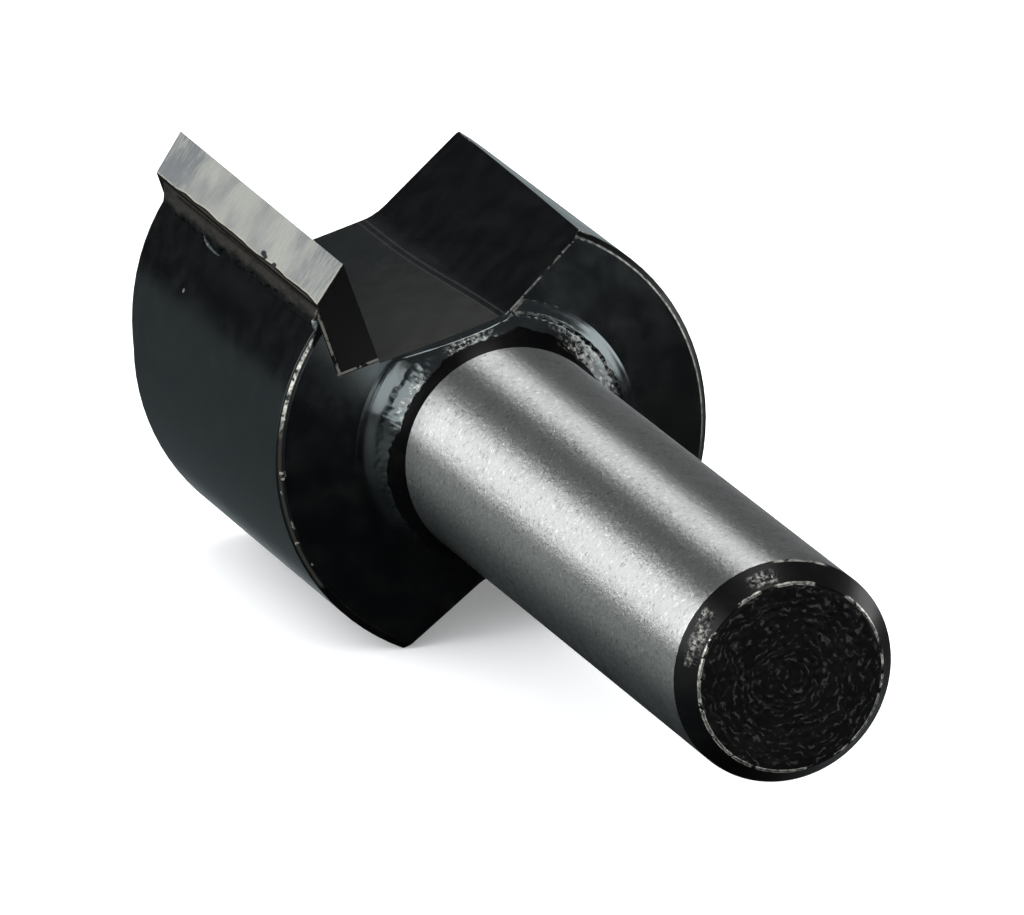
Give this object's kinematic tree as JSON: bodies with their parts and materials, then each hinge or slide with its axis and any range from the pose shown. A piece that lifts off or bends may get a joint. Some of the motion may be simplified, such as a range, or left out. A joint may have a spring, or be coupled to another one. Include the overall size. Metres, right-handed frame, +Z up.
{
  "type": "router bit",
  "caption": "Straight two-flute router bit: black steel body with a ground cylindrical shank, open chip gullets and brazed carbide cutting tips.",
  "frame": {"origin": "on the surface the bit lies on, under the middle of its overall length and under its centreline", "axes": "+Y along the centreline from the shank end to the cutting end, +Z up, one gullet open upwards"},
  "size_m": [0.0164, 0.0496, 0.0148],
  "materials": {
    "bit_body": "turned and milled tool steel, blackened all over but for the ground shank",
    "carbide_tip": "tungsten carbide with a ground flank",
    "braze_seam": "silver solder, dulled by heat"
  },
  "bodies": {
    "root": {"bit_body": "bit_body", "carbide_tip_a": "carbide_tip", "carbide_tip_b": "carbide_tip", "braze_seam_a": "braze_seam", "braze_seam_b": "braze_seam"}
  },
  "joints": []
}
